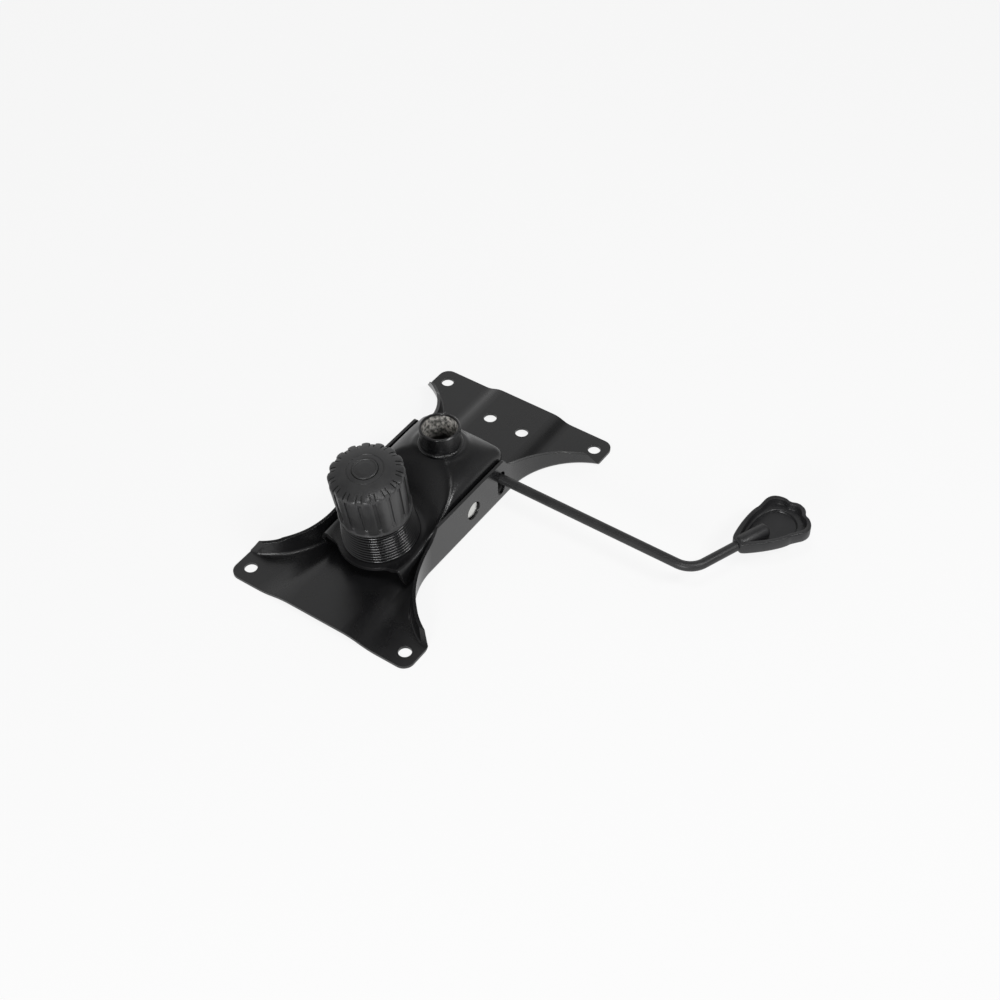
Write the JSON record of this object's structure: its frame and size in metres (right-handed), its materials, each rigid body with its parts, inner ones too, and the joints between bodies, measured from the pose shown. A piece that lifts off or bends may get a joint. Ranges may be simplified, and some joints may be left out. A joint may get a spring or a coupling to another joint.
{
  "type": "swivel tilt mechanism",
  "caption": "Office chair swivel tilt mechanism: flanged seat plate, tilting housing with column socket, ribbed spring sleeve and tension knob, side lever with paddle handle, seat face down",
  "frame": {"origin": "the middle of the four seat bolt holes, on the seat face of the plate", "axes": "seat face down as in the picture: +Z runs from the seat face towards the floor side of the chair, along the column socket's bore; +Y towards the rear of the seat; +X towards the lever, on the sitter's right"},
  "size_m": [0.3618, 0.2881, 0.1051],
  "materials": {
    "coated_steel": "matte black powder coat with a fine grain",
    "socket_steel": "dark turned steel, black outside and greyish in the bore",
    "zinc_steel": "zinc plated",
    "spring_steel": "oiled spring steel",
    "rod_steel": "satin black coat on round bar",
    "knob_plastic": "moulded black plastic, fine grain",
    "handle_plastic": "moulded black plastic, satin",
    "sleeve_plastic": "soft black plastic",
    "nylon": "plain black nylon",
    "buffer_rubber": "plain"
  },
  "bodies": {
    "seat": {"seat_plate": "coated_steel", "pivot_axle": "zinc_steel", "axle_clips": "spring_steel", "rest_buffers": "buffer_rubber", "tilt_buffers": "buffer_rubber"},
    "housing": {"tilt_housing": "coated_steel", "column_socket": "socket_steel", "socket_weld_ring": "coated_steel", "socket_brace": "coated_steel", "axle_bushes": "nylon", "spring_seat": "zinc_steel", "spring_sleeve": "sleeve_plastic", "tension_spring": "spring_steel"},
    "bolt": {"tension_bolt": "zinc_steel", "bolt_stop_ring": "spring_steel"},
    "washer": {"pressure_washer": "zinc_steel", "thrust_washer": "zinc_steel"},
    "knob": {"tension_knob": "knob_plastic", "knob_cap": "knob_plastic", "knob_nut": "zinc_steel"},
    "lever_pivot": {"lever_bush": "nylon"},
    "lever": {"lever_rod": "rod_steel", "lever_handle": "handle_plastic", "lever_clip": "spring_steel"}
  },
  "joints": [
    {"name": "tilt", "type": "hinge", "parent": "seat", "child": "housing", "pos_m": [0, 0.0025, 0.021], "axis": [-1, 0, 0], "range_deg": [0, 12], "stiffness_Nm_per_rad": 60, "springref_deg": -11.46, "deforming": ["tension_spring", "spring_sleeve"]},
    {"name": "bolt_rock", "type": "hinge", "parent": "seat", "child": "bolt", "pos_m": [0, -0.0558, 0.004], "axis": [-1, 0, 0], "range_deg": [0, 7.1]},
    {"name": "knob_travel", "type": "slide", "parent": "bolt", "child": "washer", "axis": [0, -0.1495, 0.9888], "range_m": [0, 0.00451], "deforming": ["tension_spring"]},
    {"name": "knob_turn", "type": "hinge", "parent": "washer", "child": "knob", "pos_m": [0, -0.0591, 0.0257], "axis": [0, -0.1495, 0.9888], "range_deg": [0, 1080]},
    {"name": "lever_lift", "type": "hinge", "parent": "housing", "child": "lever_pivot", "pos_m": [0.0377, 0.04, 0.0255], "axis": [0, 1, 0], "range_deg": [0, 4.5]},
    {"name": "lever_slide", "type": "slide", "parent": "lever_pivot", "child": "lever", "axis": [1, 0, 0], "range_m": [0, 0.008]}
  ],
  "couplings": [
    {"joint": "bolt_rock", "follows": "tilt", "ratio": 0.585},
    {"joint": "knob_travel", "follows": "knob_turn", "m_per_rad": 0.00023873}
  ]
}
